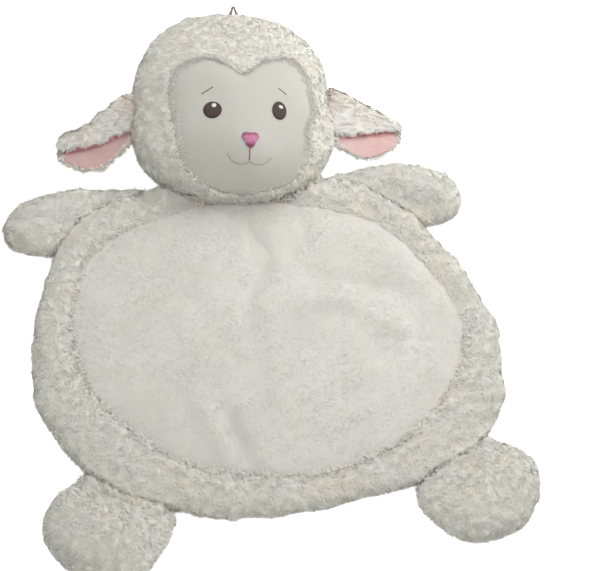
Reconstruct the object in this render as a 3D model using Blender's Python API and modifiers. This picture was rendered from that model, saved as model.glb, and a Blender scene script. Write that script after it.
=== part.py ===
import math

import bmesh
import bpy
from mathutils import Vector
from mathutils.bvhtree import BVHTree

# All lengths are millimetres until scaled_mesh() turns them into metres.
MM = 0.001
GAP = 0.32
CUT_GAP = 0.35

# Body: border roll, seam ditch and pocket for the centre panel
RIM_Z = 14.0
BORDER_TOP = 34.0
DITCH_Z = 22.0
POCKET_Z = 20.0
PANEL_CROWN = 8.0
PANEL_CROWN_POWER = 2.4
PANEL_INSET = 0.975
PANEL_UNDER_INSET = 0.985
PANEL_THICK = 4.5
BODY_LUMP = 1.6
LUMPS_ROUND = 19
SLOW_LUMPS_ROUND = 13
FOLD_FADE = 0.12
# rows: outer rim radius, seam radius, every 24 degrees from +X
BODY_OUTLINE = [
    (315, 274), (297, 260), (287, 250), (272, 226), (261, 224),
    (288, 244), (317, 275), (312, 267), (317, 247), (299, 222),
    (266, 205), (246, 195), (246, 207), (279, 222), (323, 251),
]
# rows: start x, start y, end x, end y, rise, width of each main fold
FOLDS = [
    (-16, 212, 2, 130, -3.6, 16),
    (68, 200, 40, 136, -3.2, 15),
    (14, 142, -26, 62, -3.0, 24),
    (-26, 62, -22, -8, -2.2, 24),
    (66, 98, 172, 64, -3.2, 22),
    (188, 108, 230, 42, 3.0, 20),
    (46, 44, 104, 52, 2.6, 17),
    (104, 52, 182, 2, 2.6, 17),
    (-96, -98, -54, -186, 2.6, 17),
    (-50, -96, -24, -178, 2.4, 17),
    (-70, -102, -42, -190, -2.6, 14),
    (62, -138, 122, -113, 2.2, 18),
    (-170, 120, -90, 60, -1.6, 36),
]

# Head: dome over a flat base, with a sunk seat for the face panel
HEAD_X = -13.0
HEAD_Y = 365.0
HEAD_TOP = 115.0
HEAD_RIM_Z = 48.0
FACE_SEAT = 5.0
FACE_THICK = 3.0
FACE_CROWN = 4.0
MUZZLE_RISE = 5.0
MUZZLE_SPREAD = 0.2
MUZZLE_U = 0.06
MUZZLE_V = -0.47
NORMAL_STEP = 0.004
FACE_EDGE_DROP = 0.8
FACE_INSET = 0.99
FACE_UNDER_INSET = 0.995
# head outline radius every 30 degrees from +X
HEAD_OUTLINE = [144, 158, 163, 162, 162, 147, 142, 158, 156, 155, 163, 160]
FACE_U = 0.06
FACE_V = -0.33
# face edge radius in dome coordinates, every 18 degrees round (FACE_U, FACE_V)
FACE_OUTLINE = [
    0.415, 0.545, 0.641, 0.645, 0.520, 0.385, 0.541, 0.648, 0.630, 0.490,
    0.461, 0.494, 0.536, 0.555, 0.585, 0.590, 0.550, 0.540, 0.490, 0.460,
]
# rows under the widest line of the head: share of the outline, height
HEAD_UNDER = [(0.985, 30.0), (0.94, 14.0), (0.87, 3.5), (0.80, 0.0), (0.40, 0.0), (0.0, 0.0)]

# Stuffed limbs thin out towards the body seam
SEAM_HEIGHT = 20.0
SEAM_RUN = 55.0
SEAM_UNDERLAP = 40.0
LIMB_MIDDLE = 0.42
LIMB_SQUARENESS = 0.9
LIMB_UNDER = 1.25
# rows along each limb: x, y, half width, top height
ARM_LEFT = [
    (-105, 224, 0, 30), (-118, 223, 26, 38), (-150, 222, 38, 48), (-195, 216, 43, 55),
    (-240, 210, 46, 59), (-280, 204, 45, 59), (-310, 199, 38, 54), (-329, 195, 26, 46),
    (-338, 192, 13, 37), (-340, 191, 0, 30),
]
ARM_RIGHT = [
    (85, 228, 0, 30), (98, 228, 26, 38), (128, 227, 37, 47), (165, 223, 45, 56),
    (205, 219, 48, 60), (243, 214, 46, 60), (272, 209, 38, 54), (289, 206, 27, 46),
    (298, 204, 13, 36), (300, 203, 0, 30),
]
FOOT_LEFT = [
    (-173, -160, 0, 18), (-179, -170, 34, 22), (-194, -194, 64, 30), (-210, -217, 74, 46),
    (-228, -237, 79, 57), (-243, -258, 79, 60), (-256, -275, 73, 57), (-267, -288, 56, 49),
    (-273, -295, 30, 38), (-275, -297, 0, 30),
]
FOOT_RIGHT = [
    (186, -168, 0, 18), (192, -176, 36, 22), (207, -196, 66, 30), (224, -211, 74, 46),
    (245, -229, 79, 57), (263, -242, 78, 60), (280, -252, 71, 57), (296, -261, 55, 49),
    (308, -270, 30, 38), (312, -274, 0, 30),
]

# Folded ears, rows from root to tip: x, fold y, flap edge y, lip y, middle height, half height
EAR_CLOTH = 3.6
EAR_LINING = 1.5
EAR_GAP = 0.9
EAR_MOUTH = 14.0
EAR_LIP_TURN = 3.0
# points across the fold of an ear: under side, turn, flap
EAR_POINTS = (5, 6, 4)
EAR_LEFT = [
    (-128, 393, 342, 332, 54, 11), (-146, 393, 337, 324, 52, 11), (-164, 388, 332, 310, 48, 10.5),
    (-184, 376, 326, 291, 43, 10), (-204, 361, 321, 281, 38, 9.5), (-222, 351, 319, 284, 34, 9),
    (-238, 346, 318, 292, 30, 8.5), (-251, 341, 319, 302, 27, 8), (-258, 332, 320, 312, 26, 7),
]
EAR_RIGHT = [
    (112, 387, 314, 304, 54, 11), (130, 383, 308, 292, 52, 11), (148, 375, 306, 277, 48, 10.5),
    (166, 364, 309, 271, 43, 10), (184, 354, 315, 275, 38, 9.5), (200, 348, 319, 284, 34, 9),
    (213, 343, 321, 293, 30, 8.5), (222, 337, 322, 304, 27, 8), (228, 329, 321, 311, 26, 7),
]

# Needlework on the face, in dome coordinates and millimetres on the surface
EYE_LEFT = (-0.137, -0.196, 13.4, 13.4, 0.0)
EYE_RIGHT = (0.239, -0.212, 10.8, 15.0, -0.16)
EYE_THICK = 1.6
NOSE_AT = (0.060, -0.402)
NOSE_WIDTH = 13.0
NOSE_THICK = 2.6
THREAD_RADIUS = 0.9
RAY_START = 30.0
# rows of a stitched patch, from its middle on top to its middle underneath: share of the outline, height
PATCH_ROWS = [(0.0, 1.0), (0.45, 0.93), (0.8, 0.7), (0.97, 0.32), (0.97, 0.0), (0.5, 0.0), (0.0, 0.0)]
BROW_LEFT = [(-0.189, -0.086), (-0.155, -0.061), (-0.119, -0.044)]
BROW_RIGHT = [(0.272, -0.062), (0.294, -0.080), (0.314, -0.108)]
MOUTH_LINE = [(0.055, -0.497), (0.053, -0.530), (0.052, -0.552)]
SMILE = [
    (-0.090, -0.500), (-0.065, -0.538), (-0.030, -0.570), (0.010, -0.580), (0.051, -0.574),
    (0.098, -0.580), (0.145, -0.567), (0.172, -0.542), (0.191, -0.510),
]
LOOP_RADIUS = 1.3
# rows: x, y, z along the ribbon loop at the crown
LOOP_PATH = [
    (4.2, 512, 60), (4.3, 518, 68), (4.9, 522.5, 74), (6.2, 525, 77.5),
    (7.9, 525, 77.5), (9.2, 522.5, 74), (9.8, 518, 68), (9.9, 512, 60),
]
LOOP_FACING = (0.0, -0.6, 0.8)
TUBE_END = 0.7
TUBE_TAPER = 0.75

# Colours: base colour, roughness
PLUSH = ((0.61, 0.58, 0.50), 0.95)
PANEL = ((0.72, 0.70, 0.64), 0.95)
VELOUR = ((0.70, 0.67, 0.60), 0.9)
PINK = ((0.72, 0.42, 0.41), 0.9)
BROWN = ((0.045, 0.022, 0.015), 0.5)
ROSE = ((0.62, 0.20, 0.30), 0.5)
TAUPE = ((0.28, 0.22, 0.19), 0.7)


def periodic(angle, values):
    count = len(values)
    place = (math.degrees(angle) % 360.0) / 360.0 * count
    i = int(math.floor(place))
    f = place - i
    a = values[(i - 1) % count]
    b = values[i % count]
    c = values[(i + 1) % count]
    d = values[(i + 2) % count]
    return b + 0.5 * f * (c - a + f * (2 * a - 5 * b + 4 * c - d + f * (3 * (b - c) + d - a)))


def smooth_rows(rows, place):
    i = max(0, min(len(rows) - 2, int(math.floor(place))))
    f = place - i
    before = rows[max(0, i - 1)]
    after = rows[min(len(rows) - 1, i + 2)]
    out = []
    for a, b, c, d in zip(before, rows[i], rows[i + 1], after):
        out.append(b + 0.5 * f * (c - a + f * (2 * a - 5 * b + 4 * c - d + f * (3 * (b - c) + d - a))))
    return out


def shell(segments, rings, place):
    """A closed body: a sphere whose vertices are moved ring by ring."""
    bm = bmesh.new()
    bmesh.ops.create_uvsphere(bm, u_segments=segments, v_segments=rings, radius=1.0)
    for vert in bm.verts:
        ring = round(math.acos(max(-1.0, min(1.0, vert.co.z))) / math.pi * rings)
        vert.co = Vector(place(ring, math.atan2(vert.co.y, vert.co.x)))
    if bm.calc_volume(signed=True) < 0:
        bmesh.ops.reverse_faces(bm, faces=bm.faces)
    bmesh.ops.triangulate(bm, faces=bm.faces)
    return bm


def scaled_mesh(name, bm, look, collection):
    mesh = bpy.data.meshes.new(name)
    bmesh.ops.scale(bm, vec=(MM, MM, MM), verts=bm.verts)
    bm.to_mesh(mesh)
    bm.free()
    mesh.shade_smooth()
    obj = bpy.data.objects.new(name, mesh)
    collection.objects.link(obj)
    material = bpy.data.materials.new(name)
    material.use_nodes = True
    shader = material.node_tree.nodes["Principled BSDF"]
    shader.inputs["Base Color"].default_value = (*look[0], 1.0)
    shader.inputs["Roughness"].default_value = look[1]
    shader.inputs["Metallic"].default_value = 0.0
    mesh.materials.append(material)
    return obj


def grown_copy(obj, distance, collection):
    copy = obj.copy()
    copy.data = obj.data.copy()
    copy.name = obj.name + "_cutter"
    bm = bmesh.new()
    bm.from_mesh(copy.data)
    bm.normal_update()
    moves = [(vert, vert.normal.copy()) for vert in bm.verts]
    for vert, normal in moves:
        vert.co += normal * distance * MM
    bm.to_mesh(copy.data)
    bm.free()
    collection.objects.link(copy)
    copy.hide_render = True
    copy.display_type = "WIRE"
    return copy


def cut(obj, cutter):
    modifier = obj.modifiers.new("cut", "BOOLEAN")
    modifier.operation = "DIFFERENCE"
    modifier.solver = "EXACT"
    modifier.object = cutter
    bpy.context.view_layer.objects.active = obj
    bpy.ops.object.modifier_apply(modifier=modifier.name)


def keep_largest(obj):
    """Drop the offcut that a cutter leaves on its far side."""
    bm = bmesh.new()
    bm.from_mesh(obj.data)
    left = set(bm.verts)
    islands = []
    while left:
        stack = [left.pop()]
        island = set(stack)
        while stack:
            for edge in stack.pop().link_edges:
                for vert in edge.verts:
                    if vert in left:
                        left.discard(vert)
                        island.add(vert)
                        stack.append(vert)
        islands.append(island)
    islands.sort(key=len)
    for island in islands[:-1]:
        bmesh.ops.delete(bm, geom=list(island), context="VERTS")
    bmesh.ops.remove_doubles(bm, verts=bm.verts, dist=0.00005)
    bmesh.ops.dissolve_degenerate(bm, edges=bm.edges, dist=0.00005)
    bmesh.ops.triangulate(bm, faces=bm.faces)
    bm.to_mesh(obj.data)
    bm.free()


# ---- body ----

def fold_height(x, y):
    total = 0.0
    for x0, y0, x1, y1, rise, width in FOLDS:
        dx = x1 - x0
        dy = y1 - y0
        along = ((x - x0) * dx + (y - y0) * dy) / (dx * dx + dy * dy)
        reach = max(0.0, min(1.0, along))
        away = math.hypot(x - x0 - reach * dx, y - y0 - reach * dy)
        total += rise * math.exp(-(away / width) ** 2)
    return total


def lumps(angle, height):
    quick = math.sin(LUMPS_ROUND * angle + 1.3)
    slow = math.sin(SLOW_LUMPS_ROUND * angle + 0.4 + 0.06 * height)
    return BODY_LUMP * (quick + 0.8 * slow)


def pocket_height(share, angle):
    radius = share * periodic(angle, [row[1] for row in BODY_OUTLINE])
    fade = min(1.0, (1.0 - share) / FOLD_FADE)
    rise = PANEL_CROWN * (1.0 - share ** PANEL_CROWN_POWER)
    return POCKET_Z + rise + fade * fold_height(radius * math.cos(angle), radius * math.sin(angle))


# rows from the middle of the underside to the seam: kind, share or offset, height
BODY_RINGS = [
    ("rim", 0.0, 0.0), ("rim", 0.5, 0.0), ("edge", -14.0, 0.0), ("edge", -4.0, 4.0),
    ("edge", 0.0, RIM_Z), ("edge", -3.0, 24.0), ("roll", 0.28, 31.5), ("roll", 0.55, BORDER_TOP),
    ("roll", 0.82, 31.0), ("roll", 0.97, DITCH_Z + 3.0),
]
PANEL_SHARES = [0.995, 0.93, 0.84, 0.73, 0.61, 0.48, 0.34, 0.18, 0.0]


def body_point(ring, angle):
    rim, seam = [periodic(angle, [row[k] for row in BODY_OUTLINE]) for k in (0, 1)]
    if ring < len(BODY_RINGS):
        kind, amount, height = BODY_RINGS[ring]
        wave = 0.0
        if kind == "rim":
            radius = rim * amount
        elif kind == "edge":
            wave = lumps(angle, height)
            radius = rim + amount + wave
        else:
            wave = lumps(angle + 0.05, 40.0 * amount)
            radius = rim + (seam - rim) * amount + wave * (1.0 - amount)
        if kind == "roll" or height > RIM_Z:
            height += wave * 0.6
    else:
        share = PANEL_SHARES[ring - len(BODY_RINGS)]
        radius = seam * share
        height = pocket_height(share, angle)
    return radius * math.cos(angle), radius * math.sin(angle), height


def panel_point(ring, angle):
    seam = periodic(angle, [row[1] for row in BODY_OUTLINE])
    count = len(PANEL_SHARES)
    under = ring >= count
    share = PANEL_SHARES[ring - count] if under else PANEL_SHARES[count - 1 - ring]
    share = PANEL_INSET if share > 0.99 and not under else min(share, PANEL_UNDER_INSET)
    height = pocket_height(share, angle) + GAP
    if not under:
        height += PANEL_THICK
    radius = seam * share
    return radius * math.cos(angle), radius * math.sin(angle), height


# ---- head and face ----

def dome(u, v):
    t = min(math.hypot(u, v), 1.0)
    angle = math.atan2(v, u)
    radius = periodic(angle, HEAD_OUTLINE) * math.sin(math.pi * t / 2)
    height = HEAD_RIM_Z + (HEAD_TOP - HEAD_RIM_Z) * math.cos(math.pi * t / 2)
    return Vector((HEAD_X + radius * math.cos(angle), HEAD_Y + radius * math.sin(angle), height))


def dome_normal(u, v):
    step = NORMAL_STEP
    shrink = min(1.0, (1.0 - 1.5 * step) / max(math.hypot(u, v), 0.001))
    u *= shrink
    v *= shrink
    normal = (dome(u + step, v) - dome(u - step, v)).cross(dome(u, v + step) - dome(u, v - step))
    return normal.normalized()


def face_rise(u, v, share):
    muzzle = math.exp(-((u - MUZZLE_U) ** 2 + (v - MUZZLE_V) ** 2) / MUZZLE_SPREAD ** 2)
    return (1.0 - share ** 3) * (FACE_CROWN + MUZZLE_RISE * muzzle)


def face_uv(share, angle):
    radius = share * periodic(angle, FACE_OUTLINE)
    return FACE_U + radius * math.cos(angle), FACE_V + radius * math.sin(angle)


def face_surface(share, angle, lift):
    u, v = face_uv(share, angle)
    return dome(u, v) + dome_normal(u, v) * (face_rise(u, v, min(share, 1.0)) - FACE_SEAT + lift)


FACE_SHARES = [0.0, 0.18, 0.36, 0.54, 0.70, 0.84, 0.94, 1.0]
HAIR_SHARES = [0.03, 0.35, 0.70, 1.0]


def head_point(ring, angle):
    if ring < len(FACE_SHARES):
        return face_surface(FACE_SHARES[ring], angle, 0.0)
    ring -= len(FACE_SHARES)
    edge_u, edge_v = face_uv(1.0, angle)
    cos = math.cos(angle)
    sin = math.sin(angle)
    along = FACE_U * cos + FACE_V * sin
    reach = -along + math.sqrt(along * along - FACE_U ** 2 - FACE_V ** 2 + 1.0)
    rim_u = FACE_U + reach * cos
    rim_v = FACE_V + reach * sin
    if ring < len(HAIR_SHARES):
        share = HAIR_SHARES[ring]
        return dome(edge_u + (rim_u - edge_u) * share, edge_v + (rim_v - edge_v) * share)
    share, height = HEAD_UNDER[ring - len(HAIR_SHARES)]
    around = math.atan2(rim_v, rim_u)
    radius = periodic(around, HEAD_OUTLINE) * share
    return HEAD_X + radius * math.cos(around), HEAD_Y + radius * math.sin(around), height


def face_point(ring, angle):
    count = len(FACE_SHARES)
    upper = ring < count
    share = FACE_SHARES[ring] if upper else FACE_SHARES[2 * count - 1 - ring]
    lift = GAP + FACE_THICK if upper else GAP
    if share == 1.0:
        share = FACE_INSET if upper else FACE_UNDER_INSET
        lift -= FACE_EDGE_DROP if upper else 0.0
    return face_surface(share, angle, lift)


class Seat:
    """Finds places on the outside of the finished face panel."""

    def __init__(self, obj):
        bm = bmesh.new()
        bm.from_mesh(obj.data)
        bmesh.ops.scale(bm, vec=(1 / MM, 1 / MM, 1 / MM), verts=bm.verts)
        self.tree = BVHTree.FromBMesh(bm)
        bm.free()

    def frame(self, u, v):
        start = dome(u, v)
        normal = dome_normal(u, v)
        side = (dome(u + 0.01, v) - dome(u - 0.01, v)).normalized()
        side = (side - normal * side.dot(normal)).normalized()
        return start, side, normal.cross(side), normal

    def on(self, point, normal, lift):
        hit = self.tree.ray_cast(point + normal * RAY_START, -normal)[0]
        return hit + normal * lift


def stitched_patch(seat, u, v, outline, thick, segments):
    start, side, up, normal = seat.frame(u, v)

    def place(ring, angle):
        share, height = PATCH_ROWS[ring]
        x, y = outline(angle)
        return seat.on(start + side * x * share + up * y * share, normal, GAP + height * thick)

    return shell(segments, len(PATCH_ROWS) - 1, place)


def ellipse(width, height, turn):
    def outline(angle):
        x = width * math.cos(angle)
        y = height * math.sin(angle)
        return x * math.cos(turn) - y * math.sin(turn), x * math.sin(turn) + y * math.cos(turn)
    return outline


def nose_outline(angle):
    radius = NOSE_WIDTH * (0.84 + 0.17 * math.cos(3 * (angle + math.pi / 2)))
    return radius * 1.03 * math.cos(angle), radius * 0.92 * math.sin(angle) - 1.0


def tube(path, radius, segments, normals):
    """A closed round thread or cord through the points of a path."""
    count = len(path)

    def place(ring, angle):
        i = max(0, min(count - 1, ring - 1))
        ahead = path[min(count - 1, i + 1)] - path[max(0, i - 1)]
        ahead.normalize()
        if ring == 0:
            return path[0] - ahead * radius * TUBE_END
        if ring == count + 1:
            return path[-1] + ahead * radius * TUBE_END
        across = ahead.cross(normals[i]).normalized()
        up = across.cross(ahead)
        size = radius * (TUBE_TAPER if i in (0, count - 1) else 1.0)
        return path[i] + across * size * math.cos(angle) + up * size * math.sin(angle)

    return shell(segments, count + 1, place)


def thread(seat, points, segments=6):
    path = []
    normals = []
    for k in range(2 * len(points) - 1):
        u, v = smooth_rows(points, k / 2)
        start, _, _, normal = seat.frame(u, v)
        path.append(seat.on(start, normal, GAP + THREAD_RADIUS))
        normals.append(normal)
    return tube(path, THREAD_RADIUS, segments, normals)


# ---- limbs and ears ----

def seam_share(x, y, top):
    away = math.hypot(x, y) - periodic(math.atan2(y, x), [row[0] for row in BODY_OUTLINE])
    if away < 0:
        return SEAM_HEIGHT / top * max(0.3, 1.0 + away / SEAM_UNDERLAP)
    rise = math.sin(math.pi / 2 * min(1.0, away / SEAM_RUN))
    return (SEAM_HEIGHT + (top - SEAM_HEIGHT) * rise) / top


def limb(rows, segments):
    axis = Vector((rows[-1][0] - rows[0][0], rows[-1][1] - rows[0][1], 0.0)).normalized()
    side = Vector((-axis.y, axis.x, 0.0))

    def place(ring, angle):
        x, y, half, top = rows[ring]
        middle = LIMB_MIDDLE * top
        rise = math.sin(angle)
        flat = math.copysign(abs(math.cos(angle)) ** LIMB_SQUARENESS, math.cos(angle))
        height = middle + (top - middle) * rise
        if rise < 0:
            height = max(0.0, middle * (1 + LIMB_UNDER * rise))
        if half == 0:
            height = middle
        spot = Vector((x, y, height)) + side * half * flat
        spot.z *= min(1.0, seam_share(spot.x, spot.y, top))
        return spot

    return shell(segments, len(rows) - 1, place)


def ear_sheet(rows, depth, rows_short=0):
    """A cloth folded lengthways, a set depth inside the outline of the ear."""
    length = len(rows) - 1 - rows_short
    stations = 2 * length + 1
    lower, turn, upper = EAR_POINTS
    across = lower + turn + upper
    bm = bmesh.new()
    bmesh.ops.create_grid(bm, x_segments=stations - 1, y_segments=across - 1, size=1.0)
    for vert in bm.verts:
        along = (vert.co.x + 1) / 2 * length
        k = round((vert.co.y + 1) / 2 * (across - 1))
        x, fold, flap, lip, middle, half = smooth_rows(rows, along)
        centre = fold - half
        if k < lower:
            f = k / lower
            y = lip + (centre - lip) * f
            z = middle - half + EAR_LIP_TURN * (1 - f) ** 2
        elif k < lower + turn:
            a = math.pi * (k - lower) / (turn - 1)
            y = centre + half * math.sin(a)
            z = middle - half * math.cos(a)
        else:
            f = (k - lower - turn + 1) / upper
            y = centre + (flap - centre) * f
            z = middle + half - (2 * half - EAR_MOUTH) * f ** 2
        vert.co = Vector((x, y, z))
    bm.normal_update()
    lowest = min(bm.verts, key=lambda vert: vert.co.z)
    inward = -depth if lowest.normal.z < 0 else depth
    moves = [(vert, vert.normal.copy()) for vert in bm.verts]
    for vert, normal in moves:
        vert.co += normal * inward
    return bm


def thicken(obj, thick):
    modifier = obj.modifiers.new("thick", "SOLIDIFY")
    modifier.thickness = thick * MM
    modifier.offset = 0.0
    bpy.context.view_layer.objects.active = obj
    bpy.ops.object.modifier_apply(modifier=modifier.name)


# ---- assembly ----

for old in list(bpy.data.objects):
    bpy.data.objects.remove(old, do_unlink=True)

mat_parts = bpy.data.collections.new("lamb_play_mat")
cutters = bpy.data.collections.new("cutters")
bpy.context.scene.collection.children.link(mat_parts)
bpy.context.scene.collection.children.link(cutters)

body_count = len(BODY_RINGS) + len(PANEL_SHARES) - 1
mat_body = scaled_mesh("mat_body", shell(60, body_count, body_point), PLUSH, mat_parts)
panel_count = 2 * len(PANEL_SHARES) - 1
centre_panel = scaled_mesh("centre_panel", shell(60, panel_count, panel_point), PANEL, mat_parts)

head_count = len(FACE_SHARES) + len(HAIR_SHARES) + len(HEAD_UNDER) - 1
head = scaled_mesh("head", shell(48, head_count, head_point), PLUSH, mat_parts)
face_count = 2 * len(FACE_SHARES) - 1
face_panel = scaled_mesh("face_panel", shell(48, face_count, face_point), VELOUR, mat_parts)

grown_head = grown_copy(head, CUT_GAP, cutters)
grown_mat = grown_copy(mat_body, CUT_GAP, cutters)
for piece in (mat_body, centre_panel):
    cut(piece, grown_head)
    keep_largest(piece)

for name, rows in (("arm_left", ARM_LEFT), ("arm_right", ARM_RIGHT)):
    arm = scaled_mesh(name, limb(rows, 20), PLUSH, mat_parts)
    cut(arm, grown_mat)
    cut(arm, grown_head)
    keep_largest(arm)

for name, rows in (("foot_left", FOOT_LEFT), ("foot_right", FOOT_RIGHT)):
    foot = scaled_mesh(name, limb(rows, 24), PLUSH, mat_parts)
    cut(foot, grown_mat)
    keep_largest(foot)

for name, rows in (("ear_left", EAR_LEFT), ("ear_right", EAR_RIGHT)):
    outer = scaled_mesh(name, ear_sheet(rows, EAR_CLOTH / 2), VELOUR, mat_parts)
    thicken(outer, EAR_CLOTH)
    # the lining stops a row short of the ear's tip
    depth = EAR_CLOTH + EAR_GAP + EAR_LINING / 2
    lining = scaled_mesh(name + "_lining", ear_sheet(rows, depth, 1), PINK, mat_parts)
    thicken(lining, EAR_LINING)
    for piece in (outer, lining):
        cut(piece, grown_head)
        keep_largest(piece)

seat = Seat(face_panel)
for name, (u, v, width, height, turn) in (("eye_left", EYE_LEFT), ("eye_right", EYE_RIGHT)):
    eye = stitched_patch(seat, u, v, ellipse(width, height, turn), EYE_THICK, 20)
    scaled_mesh(name, eye, BROWN, mat_parts)
nose = stitched_patch(seat, *NOSE_AT, nose_outline, NOSE_THICK, 24)
scaled_mesh("nose", nose, ROSE, mat_parts)
for name, points, look in (
    ("brow_left", BROW_LEFT, TAUPE), ("brow_right", BROW_RIGHT, TAUPE),
    ("mouth_line", MOUTH_LINE, ROSE), ("smile_line", SMILE, ROSE),
):
    scaled_mesh(name, thread(seat, points), look, mat_parts)

loop_path = [Vector(row) for row in LOOP_PATH]
loop = tube(loop_path, LOOP_RADIUS, 8, [Vector(LOOP_FACING)] * len(loop_path))
crown_loop = scaled_mesh("crown_loop", loop, PINK, mat_parts)
cut(crown_loop, grown_head)
keep_largest(crown_loop)
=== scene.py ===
import math

import bpy
import numpy as np
from mathutils import Matrix, Vector
from mathutils.bvhtree import BVHTree
from mathutils.kdtree import KDTree


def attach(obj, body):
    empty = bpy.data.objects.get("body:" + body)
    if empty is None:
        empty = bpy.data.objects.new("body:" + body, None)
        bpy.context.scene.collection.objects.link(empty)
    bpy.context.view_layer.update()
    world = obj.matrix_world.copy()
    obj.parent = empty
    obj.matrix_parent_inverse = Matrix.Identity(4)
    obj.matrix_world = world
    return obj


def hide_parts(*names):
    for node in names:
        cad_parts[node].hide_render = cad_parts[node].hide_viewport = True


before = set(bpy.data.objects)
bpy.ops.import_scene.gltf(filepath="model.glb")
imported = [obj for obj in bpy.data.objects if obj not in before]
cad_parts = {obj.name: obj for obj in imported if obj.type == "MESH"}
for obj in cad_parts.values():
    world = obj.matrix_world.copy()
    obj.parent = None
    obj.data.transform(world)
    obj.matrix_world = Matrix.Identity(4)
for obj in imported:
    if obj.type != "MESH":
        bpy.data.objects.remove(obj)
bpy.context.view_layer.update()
scene = bpy.context.scene
mm = 0.001


def newObject(name, data):
    obj = bpy.data.objects.new(name, data)
    scene.collection.objects.link(obj)
    return obj


def newMaterial(name, settings):
    material = bpy.data.materials.new(name)
    material.use_nodes = True
    shader = material.node_tree.nodes["Principled BSDF"]
    for socket, value in settings.items():
        shader.inputs[socket].default_value = value
    return material, material.node_tree, shader


def put(tree, socket, value):
    # an output is linked to the socket, and a number or a colour is set on it
    if isinstance(value, bpy.types.NodeSocket):
        tree.links.new(value, socket)
    else:
        socket.default_value = (*value, 1) if isinstance(value, tuple) else value


def sums(tree, operation, *values):
    node = tree.nodes.new("ShaderNodeMath")
    node.operation = operation
    for socket, value in zip(node.inputs, values):
        put(tree, socket, value)
    return node.outputs["Value"]


cameraSet = {"turn": -16.0024, "height": 60.0, "roll": 10.143, "away": 2.4671,
             "aim": (0.0563, 0.0962, 0.0), "focalPixels": 1800, "photoWidth": 599, "sensor": 36}


def placeCamera(s):
    turn, height, roll = (math.radians(s[k]) for k in ("turn", "height", "roll"))
    back = Vector((math.sin(turn) * math.cos(height), -math.cos(turn) * math.cos(height), math.sin(height)))
    side = Vector((math.cos(turn), math.sin(turn), 0))
    up = back.cross(side)
    right = side * math.cos(roll) + up * math.sin(roll)
    over = up * math.cos(roll) - side * math.sin(roll)
    camera = bpy.data.cameras.new("photoCamera")
    camera.sensor_width = s["sensor"]
    camera.lens = s["focalPixels"] * s["sensor"] / s["photoWidth"]
    camera.clip_end = 30
    obj = newObject("photoCamera", camera)
    obj.matrix_world = Matrix.Translation(Vector(s["aim"]) + back * s["away"]) @ Matrix(
        (right, over, back)).transposed().to_4x4()
    scene.camera = obj


placeCamera(cameraSet)
print("camera placed")

lightSet = {"sky": 0.55, "skyColour": (1.0, 1.0, 1.0), "keyPower": 11.9, "keySize": 1.3,
            "keyFrom": (0.62, 0.68, 0.87), "fillPower": 5.3, "fillSize": 1.6, "fillFrom": (-0.3, -1.9, 0.75),
            "aim": (0, 0.05, 0), "floorAt": -0.0006, "floorColour": (0.93, 0.93, 0.93), "floorGlow": 0.79}


def softBox(name, power, size, place):
    light = bpy.data.lights.new(name, "AREA")
    light.energy = power
    light.size = size
    obj = newObject(name, light)
    obj.location = place
    obj.rotation_euler = (Vector(place) - Vector(lightSet["aim"])).to_track_quat("Z", "Y").to_euler()


def palePaper(s):
    # lit from below for the eye alone, as on a light table
    settings = {"Base Color": (*s["floorColour"], 1), "Roughness": 0.9, "Emission Color": (1, 1, 1, 1)}
    material, tree, shader = newMaterial("palePaper", settings)
    seen = tree.nodes.new("ShaderNodeLightPath").outputs["Is Camera Ray"]
    tree.links.new(sums(tree, "MULTIPLY", seen, s["floorGlow"]), shader.inputs["Emission Strength"])
    return material


def studio(s):
    world = bpy.data.worlds.new("softSky")
    world.use_nodes = True
    sky = world.node_tree.nodes["Background"]
    sky.inputs["Color"].default_value = (*s["skyColour"], 1)
    sky.inputs["Strength"].default_value = s["sky"]
    scene.world = world
    softBox("keyBox", s["keyPower"], s["keySize"], s["keyFrom"])
    softBox("fillBox", s["fillPower"], s["fillSize"], s["fillFrom"])
    bpy.ops.mesh.primitive_plane_add(size=12, location=(0, 0, s["floorAt"]))
    floor = bpy.context.active_object
    floor.name = "floor"
    floor.data.materials.append(palePaper(s))
    scene.view_settings.view_transform = "Standard"


studio(lightSet)


def onlySelect(obj):
    bpy.ops.object.select_all(action="DESELECT")
    obj.select_set(True)
    bpy.context.view_layer.objects.active = obj


def inEdit(obj, work):
    onlySelect(obj)
    bpy.ops.object.mode_set(mode="EDIT")
    bpy.ops.mesh.select_all(action="SELECT")
    work()
    bpy.ops.object.mode_set(mode="OBJECT")


def applyModifier(obj, modifier):
    onlySelect(obj)
    bpy.ops.object.modifier_apply(modifier=modifier.name)


def pointsOf(obj):
    co = np.empty(len(obj.data.vertices) * 3, np.float32)
    obj.data.vertices.foreach_get("co", co)
    return co.reshape(-1, 3).astype(float)


def setPoints(obj, co):
    obj.data.vertices.foreach_set("co", np.ascontiguousarray(co, np.float32).ravel())
    obj.data.update()


def normalsOf(obj):
    out = np.empty(len(obj.data.vertices) * 3, np.float32)
    obj.data.vertex_normals.foreach_get("vector", out)
    return out.reshape(-1, 3).astype(float)


def treeOf(obj):
    polygons = [tuple(p.vertices) for p in obj.data.polygons]
    return BVHTree.FromPolygons([v.co for v in obj.data.vertices], polygons)


def nodeCopy(node, name):
    obj = newObject(name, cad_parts[node].data.copy())
    obj.data.materials.clear()

    def tidy():
        bpy.ops.mesh.customdata_custom_splitnormals_clear()
        bpy.ops.mesh.remove_doubles(threshold=0.00002)
    inEdit(obj, tidy)
    return obj


def remesh(obj, voxel):
    modifier = obj.modifiers.new("even", "REMESH")
    modifier.mode = "VOXEL"
    modifier.voxel_size = voxel * mm
    applyModifier(obj, modifier)


def smooth(obj, rounds, factor=0.5):
    modifier = obj.modifiers.new("soft", "SMOOTH")
    modifier.iterations = rounds
    modifier.factor = factor
    applyModifier(obj, modifier)


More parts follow.
